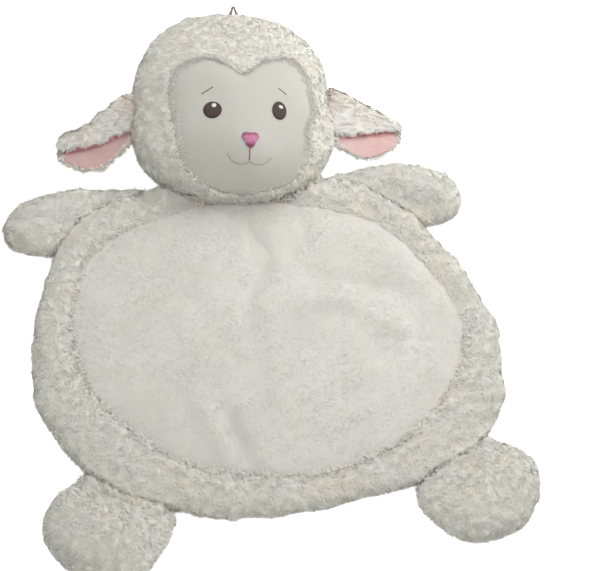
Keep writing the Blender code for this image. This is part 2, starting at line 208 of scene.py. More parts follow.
def unit(v):
    return v / np.maximum(np.linalg.norm(v, axis=-1, keepdims=True), 1e-9)


def ramp(x, a, b):
    t = np.clip((x - a) / (b - a), 0, 1)
    return t * t * (3 - 2 * t)


def wave3(p, scale, seed):
    # cheap smooth noise, about -1 to 1, from a few turned sine waves
    rng = np.random.default_rng(seed)
    total = np.zeros(len(p))
    for _ in range(7):
        way = unit(rng.normal(size=3))
        total += np.sin(p @ way * (2 * math.pi / scale) * rng.uniform(0.7, 1.4) + rng.uniform(0, 6.3))
    return total / 3.0


def dress(obj, material):
    obj.data.materials.clear()
    obj.data.materials.append(material)
    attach(obj, "root")


def finish(obj, material, node):
    obj.data.shade_smooth()
    dress(obj, material)
    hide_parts(node)


clothLook = {
    "plush": {"light": (0.94, 0.92, 0.85), "dark": (0.88, 0.86, 0.76), "patch": 26, "fuzz": 900, "bump": 0.5,
              "sheen": 0.35},
    "panel": {"light": (0.765, 0.745, 0.695), "dark": (0.67, 0.65, 0.585), "patch": 17, "fuzz": 700,
              "bump": 0.35, "sheen": 0.35},
    "velour": {"light": (0.575, 0.565, 0.515), "dark": (0.535, 0.52, 0.455), "patch": 12, "fuzz": 1400,
               "bump": 0.15, "sheen": 0.2},
    "ear": {"light": (0.86, 0.83, 0.77), "dark": (0.80, 0.76, 0.69), "patch": 24, "fuzz": 1000, "bump": 0.4,
            "sheen": 0.35, "toned": (0.84, 0.72, 0.61)},
    # the lining's toned colour is the deeper pink painted towards the crease under each ear's fold: painted
    # shade
    "lining": {"light": (0.69, 0.48, 0.455), "dark": (0.62, 0.40, 0.38), "patch": 30, "fuzz": 1200,
               "bump": 0.3, "sheen": 0.35, "toned": (0.62, 0.24, 0.25)},
}
clothFinish = {"Roughness": 0.95, "Specular IOR Level": 0.2, "Sheen Roughness": 0.5}
clothShares = {"mottle": 0.65, "nap": 0.35, "bumpDepth": 0.001}
pileFinish = {"Roughness": 0.9, "Specular IOR Level": 0.2, "Sheen Weight": 0.3, "Sheen Roughness": 0.5}
pileMottle = {"patch": 26, "cool": (0.965, 0.98, 1.0), "warm": (1.0, 0.99, 0.935), "rootShadeEnds": 0.75}
threadFinish = {"Specular IOR Level": 0.35, "Sheen Weight": 0.15}
threadWave = {"Distortion": 2.5, "Detail": 2, "Detail Scale": 1.5}
threadBump = {"strength": 0.5, "depth": 0.0004}


def mixColours(tree, first, second, share, kind="MIX"):
    mix = tree.nodes.new("ShaderNodeMix")
    mix.data_type = "RGBA"
    mix.blend_type = kind
    for name, value in (("A", first), ("B", second), ("Factor", share)):
        put(tree, mix.inputs[name], value)
    return mix.outputs["Result"]


def spreadOut(tree, value, low, high, shape="LINEAR"):
    node = tree.nodes.new("ShaderNodeMapRange")
    node.interpolation_type = shape
    node.inputs["From Min"].default_value = low
    node.inputs["From Max"].default_value = high
    tree.links.new(value, node.inputs["Value"])
    return node.outputs["Result"]


def noiseOf(tree, vector, scale, detail, rough=0.5):
    node = tree.nodes.new("ShaderNodeTexNoise")
    node.inputs["Detail"].default_value = detail
    node.inputs["Roughness"].default_value = rough
    tree.links.new(vector, node.inputs["Vector"])
    put(tree, node.inputs["Scale"], scale)
    return node.outputs["Fac"]


def bumpOf(tree, height, strength, depth):
    node = tree.nodes.new("ShaderNodeBump")
    node.inputs["Strength"].default_value = strength
    node.inputs["Distance"].default_value = depth
    tree.links.new(height, node.inputs["Height"])
    return node.outputs["Normal"]


def placeOf(tree):
    return tree.nodes.new("ShaderNodeTexCoord").outputs["Object"]


def toneOf(tree):
    tone = tree.nodes.new("ShaderNodeAttribute")
    tone.attribute_name = "tone"
    return tone.outputs["Fac"]


def setTone(obj, tone):
    layer = obj.data.attributes.new("tone", "FLOAT", "POINT")
    layer.data.foreach_set("value", np.clip(tone, 0, 1).astype(np.float32))


def clothGroup():
    group = bpy.data.node_groups.new("napAndMottle", "ShaderNodeTree")
    group.interface.new_socket("Vector", in_out="INPUT", socket_type="NodeSocketVector")
    for name, value in (("Patch", 20.0), ("Fuzz", 900.0)):
        socket = group.interface.new_socket(name, in_out="INPUT", socket_type="NodeSocketFloat")
        socket.default_value = value
    for name in ("Mottle", "Nap"):
        group.interface.new_socket(name, in_out="OUTPUT", socket_type="NodeSocketFloat")
    given = group.nodes.new("NodeGroupInput").outputs
    result = group.nodes.new("NodeGroupOutput").inputs
    broad = noiseOf(group, given["Vector"], given["Patch"], 3)
    group.links.new(spreadOut(group, broad, 0.35, 0.65), result["Mottle"])
    group.links.new(noiseOf(group, given["Vector"], given["Fuzz"], 4, 0.65), result["Nap"])
    return group


napAndMottle = clothGroup()


def clothMaterial(name, look):
    material, tree, shader = newMaterial(name, dict(clothFinish, **{"Sheen Weight": look["sheen"]}))
    nap = tree.nodes.new("ShaderNodeGroup")
    nap.node_tree = napAndMottle
    for socket, value in (("Vector", placeOf(tree)), ("Patch", look["patch"]), ("Fuzz", look["fuzz"])):
        put(tree, nap.inputs[socket], value)
    mottle = sums(tree, "MULTIPLY", nap.outputs["Mottle"], clothShares["mottle"])
    share = sums(tree, "MULTIPLY_ADD", nap.outputs["Nap"], clothShares["nap"], mottle)
    colour = mixColours(tree, look["dark"], look["light"], share)
    if "toned" in look:
        colour = mixColours(tree, colour, look["toned"], toneOf(tree))
    tree.links.new(colour, shader.inputs["Base Color"])
    raised = bumpOf(tree, nap.outputs["Nap"], look["bump"], clothShares["bumpDepth"])
    tree.links.new(raised, shader.inputs["Normal"])
    return material


def threadMaterial(name, look):
    material, tree, shader = newMaterial(name, dict(threadFinish, Roughness=look["rough"]))
    place = placeOf(tree)
    turn = tree.nodes.new("ShaderNodeMapping")
    turn.inputs["Rotation"].default_value = (0, 0, look["turn"])
    tree.links.new(place, turn.inputs["Vector"])
    threads = tree.nodes.new("ShaderNodeTexWave")
    tree.links.new(turn.outputs["Vector"], threads.inputs["Vector"])
    for socket, value in dict(threadWave, Scale=look["threads"]).items():
        threads.inputs[socket].default_value = value
    mottled = sums(tree, "MULTIPLY", threads.outputs["Fac"], noiseOf(tree, place, look["patch"], 3))
    colour = mixColours(tree, look["dark"], look["light"], spreadOut(tree, mottled, 0.0, 0.6))
    colour = mixColours(tree, colour, look["toned"], toneOf(tree))
    tree.links.new(colour, shader.inputs["Base Color"])
    raised = bumpOf(tree, threads.outputs["Fac"], threadBump["strength"], threadBump["depth"])
    tree.links.new(raised, shader.inputs["Normal"])
    return material


def pileMaterial(name, light, dark, root):
    # reads the strand's own map: across is its tint, up is from root to tip; near the root it takes the
    # darker root colour, which is painted shade deep in the pile
    material, tree, shader = newMaterial(name, pileFinish)
    strand = tree.nodes.new("ShaderNodeUVMap")
    strand.uv_map = "strand"
    split = tree.nodes.new("ShaderNodeSeparateXYZ")
    tree.links.new(strand.outputs["UV"], split.inputs["Vector"])
    tint = mixColours(tree, dark, light, split.outputs["X"])
    rise = spreadOut(tree, split.outputs["Y"], 0.0, pileMottle["rootShadeEnds"], "SMOOTHSTEP")
    deepShade = mixColours(tree, root, tint, rise)
    slow = spreadOut(tree, noiseOf(tree, placeOf(tree), pileMottle["patch"], 3), 0.36, 0.64)
    warmth = mixColours(tree, pileMottle["cool"], pileMottle["warm"], slow)
    tree.links.new(mixColours(tree, deepShade, warmth, 1.0, "MULTIPLY"), shader.inputs["Base Color"])
    # a strand seen from behind keeps the normal of the pile it stands in
    seen = tree.nodes.new("ShaderNodeNewGeometry")
    facing = tree.nodes.new("ShaderNodeVectorMath")
    facing.operation = "SCALE"
    tree.links.new(seen.outputs["Normal"], facing.inputs[0])
    tree.links.new(sums(tree, "MULTIPLY_ADD", seen.outputs["Backfacing"], -2.0, 1.0), facing.inputs["Scale"])
    tree.links.new(facing.outputs["Vector"], shader.inputs["Normal"])
    return material


plushSkin = clothMaterial("plushSkin", clothLook["plush"])
plushPile = pileMaterial("plushPile", (0.98, 0.96, 0.895), (0.94, 0.92, 0.825), (0.92, 0.90, 0.80))
earPile = pileMaterial("earPile", (0.97, 0.94, 0.88), (0.93, 0.82, 0.71), (0.93, 0.88, 0.80))
panelCloth = clothMaterial("panelCloth", clothLook["panel"])
velourCloth = clothMaterial("velourCloth", clothLook["velour"])
earCloth = clothMaterial("earCloth", clothLook["ear"])
liningCloth = clothMaterial("liningCloth", clothLook["lining"])
threadLook = {
    "brown": {"light": (0.095, 0.054, 0.046), "dark": (0.045, 0.024, 0.021), "toned": (0.026, 0.014, 0.012),
              "rough": 0.5, "turn": 0.35, "threads": 420, "patch": 700},
    "white": {"light": (0.88, 0.84, 0.84), "dark": (0.78, 0.73, 0.73), "toned": (0.5, 0.45, 0.45),
              "rough": 0.5, "turn": 0.35, "threads": 420, "patch": 700},
    "rose": {"light": (0.74, 0.30, 0.46), "dark": (0.52, 0.16, 0.29), "toned": (0.26, 0.055, 0.13),
             "rough": 0.4, "turn": 0.05, "threads": 300, "patch": 500},
    "maroon": {"light": (0.46, 0.17, 0.24), "dark": (0.33, 0.10, 0.15), "toned": (0.2, 0.06, 0.09),
               "rough": 0.6, "turn": 0.0, "threads": 500, "patch": 600},
    "mauve": {"light": (0.52, 0.38, 0.37), "dark": (0.42, 0.29, 0.29), "toned": (0.25, 0.18, 0.18),
              "rough": 0.6, "turn": 0.0, "threads": 500, "patch": 600},
    "taupe": {"light": (0.17, 0.14, 0.125), "dark": (0.12, 0.095, 0.085), "toned": (0.1, 0.08, 0.07),
              "rough": 0.6, "turn": 0.0, "threads": 500, "patch": 600},
    "cord": {"light": (0.42, 0.34, 0.33), "dark": (0.30, 0.24, 0.24), "toned": (0.24, 0.19, 0.19),
             "rough": 0.6, "turn": 0.6, "threads": 220, "patch": 600},
}
thread = {key: threadMaterial(key + "Thread", look) for key, look in threadLook.items()}

fillSet = {"stretch": 12, "bend": 0.6, "quality": 4, "frames": 20}


def inflate(obj, held, pressure, most):
    # fills a closed skin with cloth pressure: held points stay, and none moves past `most` mm
    before = pointsOf(obj)
    group = obj.vertex_groups.new(name="held")
    weights = np.round(np.clip(held, 0, 1), 2)
    for level in np.unique(weights):
        if level > 0:
            group.add(np.flatnonzero(weights == level).tolist(), float(level), "REPLACE")
    cloth = obj.modifiers.new("fill", "CLOTH")
    settings = cloth.settings
    settings.vertex_group_mass = "held"
    settings.use_pressure = True
    settings.uniform_pressure_force = pressure
    settings.tension_stiffness = settings.compression_stiffness = fillSet["stretch"]
    settings.bending_stiffness = fillSet["bend"]
    settings.effector_weights.gravity = 0
    settings.quality = fillSet["quality"]
    cloth.collision_settings.use_collision = False
    cloth.point_cache.frame_start = 1
    cloth.point_cache.frame_end = fillSet["frames"]
    for step in range(1, fillSet["frames"] + 1):
        scene.frame_set(step)
    applyModifier(obj, cloth)
    obj.vertex_groups.clear()
    scene.frame_set(1)
    move = pointsOf(obj) - before
    far = np.linalg.norm(move, axis=1, keepdims=True)
    move *= np.minimum(1, most * mm / np.maximum(far, 1e-9)) * (1 - held[:, None])
    setPoints(obj, before + move)


def curlCentres(obj, apart, seed):
    # places for the curls: random points of the skin, at least `apart` mm from each other
    rng = np.random.default_rng(seed)
    co = pointsOf(obj)[rng.permutation(len(obj.data.vertices))]
    cell = apart * mm
    taken = {}
    out = []
    for p in co:
        key = tuple(int(math.floor(c / cell)) for c in p)
        near = [taken.get((key[0] + i, key[1] + j, key[2] + k)) for i in (-1, 0, 1) for j in (-1, 0, 1)
                for k in (-1, 0, 1)]
        if all(q is None or np.linalg.norm(q - p) > cell * 0.98 for q in near):
            taken[key] = p
            out.append(p)
    return np.array(out)


def curlTree(centres):
    tree = KDTree(len(centres))
    for i, c in enumerate(centres):
        tree.insert(c, i)
    tree.balance()
    return tree


def curlField(tree, heights, co, spread):
    # soft overlapping tufts: their height at each point, 0 to about 1.1, and its slope per metre
    rise, slope = np.zeros(len(co)), np.zeros((len(co), 3))
    for i, p in enumerate(co):
        for centre, k, away in tree.find_n(p, 5):
            part = heights[k] * math.exp(-0.5 * (away / spread) ** 2)
            rise[i] += part
            slope[i] += part / spread ** 2 * (np.array(centre) - p)
    return rise, slope


def dropOnto(tree, place):
    # the point and the normal straight below a place in plan
    return tree.ray_cast(Vector((*place, 0.3)), Vector((0, 0, -1)))[:2]


def hits(tree, co, way, reach):
    return np.array([tree.ray_cast(p, w, reach)[0] is not None for p, w in zip(co, way)])


def distances(tree, co, far):
    out = np.full(len(co), far)
    for i, p in enumerate(co):
        found = tree.find_nearest(p, far)
        if found[0] is not None:
            out[i] = found[3]
    return out


def leanOver(look, co, normal, lean, length, height):
    # pile close to a neighbour, or to the rim of its own cloth, grows over the seam there
    pull, toward = np.zeros(len(co)), np.zeros((len(co), 3))
    for tree, reach in look["over"]:
        for i, p in enumerate(co):
            found = tree.find_nearest(p, reach * mm)
            if found[0] is not None:
                near = 1 - found[3] / (reach * mm)
                if near > pull[i]:
                    pull[i] = near
                    toward[i] = np.array(found[0] - Vector(p)) / max(found[3], 1e-6)
    if "rim" in look:
        share, centre, start = look["rim"]
        near = ramp(share(co), start, 1.0)
        out = np.zeros((len(co), 3))
        out[:, :2] = co[:, :2] - centre
        pull, toward = np.maximum(pull, near), toward + unit(out) * near[:, None]
    toward = unit(toward - normal * (toward * normal).sum(1, keepdims=True) + 1e-9)
    lean = unit(lean * (1 - 0.7 * pull[:, None]) + toward * look["overLean"] * pull[:, None])
    return lean, length * (1 + look["overLong"] * pull), height * (1 + look["overLift"] * pull)


def surfaceSample(obj, count, seed):
    # even random places on the skin, with their normals
    rng = np.random.default_rng(seed)
    mesh = obj.data
    mesh.calc_loop_triangles()
    tri = np.empty(len(mesh.loop_triangles) * 3, np.int32)
    mesh.loop_triangles.foreach_get("vertices", tri)
    tri = tri.reshape(-1, 3)
    co, normal = pointsOf(obj), normalsOf(obj)
    area = np.linalg.norm(np.cross(co[tri[:, 1]] - co[tri[:, 0]], co[tri[:, 2]] - co[tri[:, 0]]), axis=1)
    pick = tri[rng.choice(len(tri), count, p=area / area.sum())]
    a, b = rng.random((2, count, 1))
    fold = a + b > 1
    a, b = np.where(fold, 1 - a, a), np.where(fold, 1 - b, b)
    mix = lambda v: v[pick[:, 0]] * (1 - a - b) + v[pick[:, 1]] * a + v[pick[:, 2]] * b
    return mix(co), unit(mix(normal))


lowestPile = 0.2 * mm  # above the surface the mat lies on


def strandMesh(name, rows, width, sideways, tint, facing):
    # rows are the strand points from root to tip, and a strand tapers to its tip
    steps, count = len(rows), rows.shape[1]
    half = sideways * width[:, None]
    co = np.stack([row + way * half for row in rows[:-1] for way in (-1, 1)] + [rows[-1]], 1)
    co[..., 2] = np.maximum(co[..., 2], lowestPile)
    per = co.shape[1]
    faces = []
    along = np.zeros(per)
    for k in range(steps - 1):
        a, b = 2 * k, 2 * k + 1
        along[a] = along[b] = k / (steps - 1)
        if k < steps - 2:
            faces += [(a, b, b + 2), (a, b + 2, a + 2)]
        else:
            faces.append((a, b, per - 1))
    along[-1] = 1
    faces = np.array(faces)
    corners = (np.arange(count)[:, None, None] * per + faces[None]).reshape(-1).astype(np.int32)
    mesh = bpy.data.meshes.new(name)
    mesh.vertices.add(count * per)
    mesh.vertices.foreach_set("co", co.reshape(-1).astype(np.float32))
    mesh.loops.add(len(corners))
    mesh.loops.foreach_set("vertex_index", corners)
    mesh.polygons.add(len(corners) // 3)
    mesh.polygons.foreach_set("loop_start", np.arange(0, len(corners), 3, dtype=np.int32))
    mesh.update(calc_edges=True)
    uv = np.stack([np.repeat(np.clip(tint, 0.02, 0.98), per), np.tile(along * 0.96 + 0.02, count)], 1)
    for layer in ("strand", "OFBake"):
        mesh.uv_layers.new(name=layer).data.foreach_set("uv", uv[corners].astype(np.float32).reshape(-1))
    mesh.shade_smooth()
    mesh.normals_split_custom_set_from_vertices(np.repeat(facing, per, 0))
    return newObject(name, mesh)


skyWay = np.array((0.2, 0.2, 1.0))


def skyward(normal, share):
    # soft pile scatters light, so its shading leans towards the sky and never turns down
    out = normal.copy()
    out[:, 2] = np.maximum(out[:, 2], 0)
    return unit(out + share * skyWay)


meanRise = 0.85  # of the tufts, which rise and sink about it
strandLook = {"length": 5.6, "width": 0.8, "lift": 0.32, "sink": 0.6, "lengths": (0.65, 1.2),
              "lifts": (0.5, 1.5), "widths": (0.7, 1.3), "swirl": 1.6, "down": 0.8, "flow": 0.3,
              "loose": 0.7, "bend": 0.9, "flowPatch": 0.045, "tuftShade": 0.9167, "patchTint": 0.14,
              "tintPatch": 0.07, "skyward": 0.8,
              "overLean": 1.0, "overLong": 0.7, "overLift": 1.2}


def pile(name, skin, look, keep):
    # curly pile: strands lie round their tuft and down its sides, in a slowly turning flow
    rng = np.random.default_rng(look["seed"])
    co, normal = surfaceSample(skin, look["tries"], look["seed"])
    good = keep(co, normal)
    co, normal = co[good][:look["strands"]], normal[good][:look["strands"]]
    count = len(co)
    rise, slope = look["curls"].field(co)
    slope -= normal * (slope * normal).sum(1, keepdims=True)
    swirl = np.cross(normal, slope) * look["curls"].spread
    flow = np.stack([wave3(co, look["flowPatch"], look["seed"] + 7 + k) for k in range(3)], 1)
    flow = unit(flow - normal * (flow * normal).sum(1, keepdims=True))
    loose = rng.normal(size=(count, 3))
    lean = swirl * look["swirl"] - slope * look["curls"].spread * look["down"]
    lean += flow * look["flow"] + loose * look["loose"]
    lean = unit(lean - normal * (lean * normal).sum(1, keepdims=True))
    side = unit(np.cross(normal, lean)) * rng.choice((-1.0, 1.0), count)[:, None]
    bend = unit(lean + look["bend"] * side)
    length = look["length"] * mm * rng.uniform(*look["lengths"], count)
    height = length * look["lift"] * rng.uniform(*look["lifts"], count)
    lean, length, height = leanOver(look, co, normal, lean, length, height)
    root = co - normal * look["sink"] * mm
    middle = co + normal * height[:, None] + lean * length[:, None] * 0.42
    tip = co + normal * height[:, None] * 0.9 + (lean * 0.62 + bend * 0.3) * length[:, None]
    rows = np.stack([root, middle, tip])
    rows[..., 2] = np.maximum(rows[..., 2], 2 * lowestPile)
    sideways = unit(np.cross(rows[-1] - rows[0], normal))
    width = look["width"] * mm * 0.5 * rng.uniform(*look["widths"], count)
    # strands on the crests of the tufts are painted lighter and those in the hollows between tufts darker:
    # painted highlight and painted shade
    tint = 0.5 + look["tuftShade"] * (rise - meanRise) + look["patchTint"] * wave3(co, look["tintPatch"], 5)
    tint += rng.normal(0, 0.05, count)
    obj = strandMesh(name, rows, width, sideways, tint, skyward(normal, look["skyward"]))
    dress(obj, plushPile)
    print(name, count, "strands,", len(obj.data.polygons), "triangles")


napLook = {"sink": 0.4, "lengths": (0.7, 1.2), "lifts": (0.5, 1.3), "widths": (0.7, 1.3), "sway": 0.9,
           "loose": 0.25, "skyward": 0.6, "edge": 0}


def napStrands(name, skin, given, keep, material):
    # short straight pile brushed one way, over a smooth cloth
    look = dict(napLook, **given)
    rng = np.random.default_rng(look["seed"])
    co, normal = surfaceSample(skin, look["tries"], look["seed"])
    good = keep(co, normal)
    co, normal = co[good][:look["strands"]], normal[good][:look["strands"]]
    count = len(co)
    sway = np.stack([wave3(co, look["stroke"], look["seed"] + k) for k in range(3)], 1)
    loose = rng.normal(size=(count, 3))
    brush = np.tile(look["brush"], (count, 1)) + look["sway"] * sway + look["loose"] * loose
    lean = unit(brush - normal * (brush * normal).sum(1, keepdims=True))
    length = look["length"] * mm * rng.uniform(*look["lengths"], count)
    lift = length * look["lift"] * rng.uniform(*look["lifts"], count)
    lift *= 1 + look["edge"] * (1 - np.abs(normal[:, 2])) ** 2
    if "over" in look:
        lean, length, lift = leanOver(look, co, normal, lean, length, lift)
    up, over = normal * lift[:, None], lean * length[:, None]
    rows = np.stack([co - normal * look["sink"] * mm, co + up + over * 0.45, co + up * 0.9 + over])
    sideways = unit(np.cross(rows[-1] - rows[0], normal))
    if "tint" in look:
        tint = look["tint"](co) + rng.normal(0, 0.05, count)
    else:
        tint = 0.5 + 0.22 * wave3(co, 0.06, 15) + 0.10 * wave3(co, 0.018, 16) + rng.normal(0, 0.06, count)
    width = look["width"] * mm * 0.5 * rng.uniform(*look["widths"], count)
    obj = strandMesh(name, rows, width, sideways, tint, skyward(normal, look["skyward"]))
    dress(obj, material)
    print(name, count, "strands,", len(obj.data.polygons), "triangles")


def lineRise(co, folds):
    # soft troughs and ridges along lines drawn in plan
    rise = np.zeros(len(co))
    for height, width, line in folds:
        line = np.array(line) * mm
        away = np.full(len(co), 1.0)
        for a, b in zip(line[:-1], line[1:]):
            along = np.clip(((co[:, :2] - a) @ (b - a)) / ((b - a) @ (b - a)), 0, 1)
            away = np.minimum(away, np.linalg.norm(co[:, :2] - a - along[:, None] * (b - a), axis=1))
        rise += height * mm * np.exp(-(away / (width * mm)) ** 2)
    return rise


rimSet = {"bins": 120, "widest": 0.4, "step": 0.001, "from": 0.80, "to": 0.98, "mostDown": 0.004}


def stretchToRim(obj, centre, share, beyond):
    # smoothing draws a cloth in: its rim goes back out to the solid's rim, along its own surface
    now = rimShare(treeOf(obj), centre)
    co, normal = pointsOf(obj), normalsOf(obj)
    gain = (now(co) / share(co) * beyond - 1) * ramp(now(co), rimSet["from"], rimSet["to"])
    move = (co[:, :2] - centre) * gain[:, None]
    steep = np.where(normal[:, 2] > 0.3, (normal[:, :2] * move).sum(1) / np.maximum(normal[:, 2], 0.3), 0)
    co[:, :2] += move
    co[:, 2] -= np.clip(steep, 0, rimSet["mostDown"])
    setPoints(obj, co)


def rimShare(tree, centre):
    # how far out a point lies, as a share of the solid's own outline in plan
    angles = np.linspace(-math.pi, math.pi, rimSet["bins"], endpoint=False)
    edge = []
    for a in angles:
        way = np.array((math.cos(a), math.sin(a)))
        r = rimSet["widest"]
        while r > 0.02 and dropOnto(tree, centre + way * r)[0] is None:
            r -= rimSet["step"]
        edge.append(r)

    def share(co):
        q = co[:, :2] - centre
        turn = np.arctan2(q[:, 1], q[:, 0])
        return np.hypot(q[:, 0], q[:, 1]) / np.interp(turn, angles, edge, period=2 * math.pi)
    return share


tuftSet = {"heights": (0.6, 1.3), "spread": 0.34, "warp": 2.5, "warpPatch": 0.03}


class Curls:
    # the tufts of one skin: places, heights and a tree to find them
    def __init__(self, obj, apart, seed):
        self.centres = curlCentres(obj, apart, seed)
        self.heights = np.random.default_rng(seed).uniform(*tuftSet["heights"], len(self.centres))
        self.spread = apart * tuftSet["spread"] * mm
        self.tree = curlTree(self.centres)

    def field(self, co):
        warp = np.stack([wave3(co, tuftSet["warpPatch"], 90 + k) for k in range(3)], 1)
        warped = co + tuftSet["warp"] * mm * warp
        return curlField(self.tree, self.heights, warped, self.spread)


skinSet = {"drawIn": 2.0, "soften": 4, "meetReach": 0.008, "relief": 3.4, "lowest": 0.3,
           "sideFrom": -0.75, "sideTo": -0.1, "tuftTo": -0.2}


def stuffedSkin(node, name, s, held, shape, lines=(), meets=()):
    # a filled skin a little inside its solid, so that the pile on it reaches the solid's outside
    s = dict(skinSet, **s)
    obj = nodeCopy(node, name)
    normal = normalsOf(obj)
    inward = s["drawIn"] * mm * ramp(normal[:, 2], s["sideFrom"], s["sideTo"])
    for tree in meets:
        inward *= distances(tree, pointsOf(obj), s["meetReach"]) / s["meetReach"]
    setPoints(obj, pointsOf(obj) - normal * inward[:, None])
    remesh(obj, s["voxel"])
    smooth(obj, s["soften"])
    co = pointsOf(obj)
    inflate(obj, held(co, normalsOf(obj)), s["pressure"], s["swell"])
    setPoints(obj, shape(pointsOf(obj), normalsOf(obj)))
    smooth(obj, 3)
    curls = Curls(obj, s["curl"], s["seed"])
    co, normal = pointsOf(obj), normalsOf(obj)
    rise, _ = curls.field(co)
    rise = (rise - meanRise) * s["relief"] * mm + wave3(co, 0.05, s["seed"]) * s["billow"] * mm
    co = co + normal * (rise * ramp(normal[:, 2], s["sideFrom"], s["tuftTo"]))[:, None]
    co[:, 2] += lineRise(co, lines) * ramp(normal[:, 2], 0.0, 0.3)
    co[:, 2] = np.maximum(co[:, 2], s["lowest"] * mm)
    setPoints(obj, co)
    finish(obj, plushSkin, node)
    print(name, len(obj.data.polygons), "faces,", len(curls.centres), "curls")
    return obj, curls


panelTree = treeOf(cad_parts["centre_panel"])
faceTree = treeOf(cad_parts["face_panel"])
headTree = treeOf(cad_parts["head"])
bodyTree = treeOf(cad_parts["mat_body"])
limbNodes = ("arm_left", "arm_right", "foot_left", "foot_right")
limbTrees = [treeOf(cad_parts[node]) for node in limbNodes]


limbSeam = {"most": 12.0, "reach": 24.0}
headSeam = {"most": 9.0, "reach": 30.0}


def seamFill(co, normal, trees, s):
    # the stuffing swells towards a seam, so the ditch there is shallow
    for tree in trees:
        near = 1 - distances(tree, co, s["reach"] * mm) / (s["reach"] * mm)
        co[:, 2] += s["most"] * mm * near ** 2 * (normal[:, 2] > -0.3) * ramp(co[:, 2], 0.010, 0.018)
    return co


bodySet = {"voxel": 5.0, "pressure": 3.0, "swell": 5.0, "curl": 14.5, "seed": 11, "billow": 1.2,
           "fill": 0.35}
borderSet = {"least": 0.0240, "slope": 0.40, "wide": 0.018, "scale": 0.25, "from": -0.0055, "to": 0.022}


def bodyHeld(co, normal):
    under = hits(panelTree, co, np.tile((0, 0, 1.0), (len(co), 1)), 0.05)
    nearHead = distances(headTree, co, 0.02) < 0.008
    return np.maximum(np.maximum(under, nearHead), 1 - ramp(co[:, 2], 0.003, 0.010))


panelCentre = np.array((0.008, 0.008))
panelShare = rimShare(panelTree, panelCentre)


def bodyShape(co, normal):
    # the border rises gently from the rim of the panel
    b = borderSet
    out = (panelShare(co) - 1) * b["scale"]
    least = b["least"] + b["slope"] * np.clip(out, 0, b["wide"])
    low = (out > b["from"]) & (out < b["to"]) & (normal[:, 2] > -0.1) & (co[:, 2] > 0.015)
    co[low, 2] = np.maximum(co[low, 2], least[low])
    return seamFill(seamFill(co, normal, limbTrees, limbSeam), normal, [headTree], headSeam)


bodySkin, bodyCurls = stuffedSkin("mat_body", "bodySkin", bodySet, bodyHeld, bodyShape, meets=limbTrees)
hairReach = 0.0012  # no strand roots closer than this to a neighbour


def bodyKeep(co, normal):
    up = np.tile((0, 0, 1.0), (len(co), 1))
    open_ = (co[:, 2] > 0.002) & (normal[:, 2] > -0.75)
    open_[open_] = (panelShare(co[open_]) > 0.978) | ~hits(panelTree, co[open_], up[open_], 0.05)
    open_[open_] = distances(headTree, co[open_], 0.01) > hairReach
    return open_


bodyPileSet = dict(strandLook, tries=330000, strands=34000, curls=bodyCurls,
                   over=[(panelTree, 10), (headTree, 12)] + [(tree, 10) for tree in limbTrees])
for half, side in (("left", -1), ("right", 1)):
    pile("bodyPile_" + half, bodySkin, dict(bodyPileSet, seed=21 + side),
         lambda co, normal, side=side: (co[:, 0] * side > 0) & bodyKeep(co, normal))

headSet = {"voxel": 4.5, "pressure": 4.0, "swell": 7.0, "curl": 13.5, "seed": 12, "billow": 0.8,
           "fill": 0.75, "hairRise": 2.6, "hairReach": 0.014}
# height and half width in mm, then the line of each fold in mm
forelock = [(2.4, 7, [(-80, 428), (-50, 422), (-28, 411), (-10, 396), (4, 391), (16, 394)]),
            (-1.6, 4, [(-76, 420), (-47, 413), (-28, 402), (-8, 387), (8, 384), (18, 388)]),
            (1.5, 8, [(24, 410), (48, 422), (72, 416), (92, 396)])]


def headHeld(co, normal):
    seat = hits(faceTree, co, normal, 0.02)
    return np.maximum(seat, 1 - ramp(co[:, 2], 0.004, 0.015))


faceCentre = np.array((0.0, 0.315))
faceShare = rimShare(faceTree, faceCentre)


def headShape(co, normal):
    # the hair comes up level with the rim of the face
    near = 1 - distances(faceTree, co, headSet["hairReach"]) / headSet["hairReach"]
    rise = headSet["hairRise"] * mm * np.minimum(1, near * 1.25) * (faceShare(co) > 0.985)
    return co + normal * rise[:, None]


headSkin, headCurls = stuffedSkin("head", "headSkin", headSet, headHeld, headShape, lines=forelock)


def headKeep(co, normal):
    open_ = (co[:, 2] > 0.003) & (normal[:, 2] > -0.8)
    open_[open_] = (faceShare(co[open_]) > 0.975) | ~hits(faceTree, co[open_], normal[open_], 0.02)
    return open_


headPileSet = dict(strandLook, tries=110000, strands=42000, seed=31, curls=headCurls,
                   over=[(faceTree, 10), (bodyTree, 20)])
pile("headPile", headSkin, headPileSet, headKeep)

# dark brown strands along the seam under the chin: painted shade in the crevice where the head meets the
# body
chinShadePile = pileMaterial("chinShadePile", (0.52, 0.40, 0.32), (0.34, 0.24, 0.19), (0.30, 0.21, 0.17))


# roots only within a ragged few mm of the head's front, where the painted crevice shade lies
def chinShadeKeep(co, normal):
    ragged = 0.0030 + 0.0018 * wave3(co, 0.012, 95)
    return (normal[:, 2] > 0) & (co[:, 1] < 0.262) & (distances(headTree, co, 0.01) < ragged)


chinPileSet = {"tries": 400000, "strands": 3600, "length": 4.2, "width": 0.8, "lift": 0.45, "seed": 96,
               "brush": (0.2, -0.6, 0.1), "stroke": 0.02}
napStrands("chinShadePile", bodySkin, chinPileSet, chinShadeKeep, chinShadePile)

limbSet = {"voxel": 4.5, "pressure": 4.0, "swell": 6.0, "curl": 13.5, "seed": 13, "billow": 1.0,
           "fill": 0.7}
limbPileSet = {"tries": 40000, "seed": 41, "armStrands": 10800, "footStrands": 13500}


def limbHeld(co, normal):
    near = np.minimum(distances(bodyTree, co, 0.03), distances(headTree, co, 0.03))
    return np.maximum(1 - ramp(near, 0.004, 0.02), 1 - ramp(co[:, 2], 0.003, 0.012))


